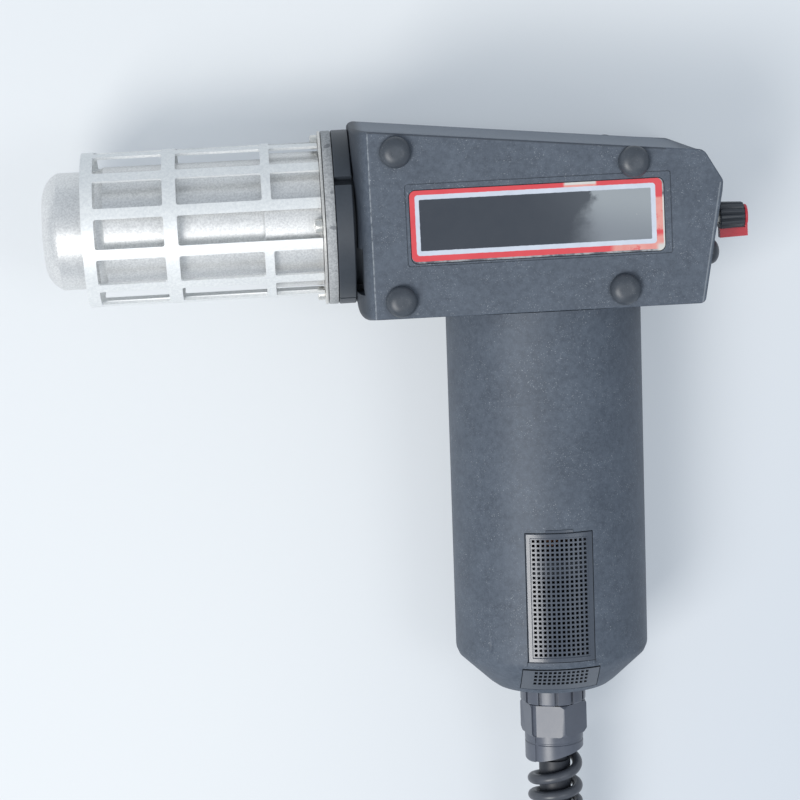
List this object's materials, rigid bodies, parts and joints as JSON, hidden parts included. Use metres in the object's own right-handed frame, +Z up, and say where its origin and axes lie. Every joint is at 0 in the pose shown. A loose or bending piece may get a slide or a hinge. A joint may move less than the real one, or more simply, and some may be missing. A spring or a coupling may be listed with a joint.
{
  "type": "hot air plastic welder",
  "caption": "Hand-held hot air welder: caged heater tube on a wedge-shaped head, round motor handle with filter cover, temperature knob and mains cord.",
  "frame": {"origin": "middle of the tool's footprint without its cord, on the surface that it lies on", "axes": "+X from the hot air outlet towards the temperature knob, -Y along the handle towards the cord, +Z up, with the right side of the head on top"},
  "size_m": [0.28, 0.534, 0.0961],
  "materials": {
    "casing": "fine matte texture, slightly dusty",
    "neck_black": "satin",
    "bumper_rubber": "satin",
    "plate_film": "printed film, worn",
    "bright_screw": "bright zinc",
    "knob_black": "satin",
    "knob_red": "gloss",
    "board_green": "lacquered",
    "gasket_fibre": "pressed fibre",
    "heater_steel": "satin, heat worn",
    "mica": "layered sheet",
    "ceramic": "unglazed",
    "heater_wire": "oxidised",
    "cage_alloy": "pale satin",
    "grille_black": "satin",
    "laminations": "stacked sheet",
    "copper": "enamelled",
    "bearing_steel": "ground",
    "brush_carbon": "dull",
    "gland_black": "satin",
    "cord_black": "satin",
    "plug_black": "satin"
  },
  "bodies": {
    "casing": {"head_shell_right": "casing", "head_shell_left": "casing", "bumper_right_1": "bumper_rubber", "bumper_right_2": "bumper_rubber", "bumper_right_3": "bumper_rubber", "bumper_right_4": "bumper_rubber", "bumper_left_1": "bumper_rubber", "bumper_left_2": "bumper_rubber", "bumper_left_3": "bumper_rubber", "bumper_left_4": "bumper_rubber", "name_plate": "plate_film", "case_screw_1": "bright_screw", "case_screw_2": "bright_screw", "case_screw_3": "bright_screw", "case_screw_4": "bright_screw", "potentiometer": "knob_black", "power_switch": "knob_black", "control_board": "board_green", "neck": "neck_black", "flange_gasket": "gasket_fibre", "heater_flange": "heater_steel", "flange_screw_1": "bright_screw", "flange_screw_2": "bright_screw", "flange_screw_3": "bright_screw", "flange_screw_4": "bright_screw", "heater_tube": "heater_steel", "mica_sleeve": "mica", "ceramic_core": "ceramic", "heating_element": "heater_wire", "guard_cage": "cage_alloy", "handle_tube": "casing", "end_grille": "grille_black", "joining_ring": "casing", "field_core": "laminations", "field_winding": "copper", "end_bell_upper": "casing", "end_bell_lower": "casing", "bearing_upper": "bearing_steel", "bearing_lower": "bearing_steel", "brush_left": "brush_carbon", "brush_right": "brush_carbon", "gland_body": "gland_black", "gland_lock_nut": "gland_black", "gland_nut": "gland_black", "kink_sleeve": "cord_black", "kink_spiral": "cord_black", "cord_lead": "cord_black", "cord_coil": "cord_black", "cord_tail": "cord_black", "plug_body": "plug_black", "plug_pins": "bright_screw"},
    "temperature_knob": {"knob_barrel": "knob_black", "knob_cap": "knob_red", "potentiometer_shaft": "bright_screw"},
    "button": {"power_button": "bumper_rubber"},
    "rotor": {"motor_shaft": "bearing_steel", "armature_core": "laminations", "commutator": "copper", "impeller": "knob_black"},
    "filter": {"filter_cover": "grille_black"}
  },
  "joints": [
    {"name": "knob_turn", "type": "hinge", "parent": "casing", "child": "temperature_knob", "pos_m": [0.13199, 0.0877, 0.04772], "axis": [1, 0, 0], "range_deg": [-150, 150]},
    {"name": "button_press", "type": "slide", "parent": "casing", "child": "button", "axis": [-1, 0, 0], "range_m": [0, 0.002], "stiffness_N_per_m": 800, "springref_m": -0.001},
    {"name": "rotor_spin", "type": "hinge", "parent": "casing", "child": "rotor", "pos_m": [0.0555, -0.00418, 0.04319], "axis": [-0.0148, -0.9987, -0.0492], "continuous": true},
    {"name": "filter_pull", "type": "slide", "parent": "casing", "child": "filter", "axis": [0, -0.0492, 0.9988], "range_m": [0, 0.012]}
  ]
}
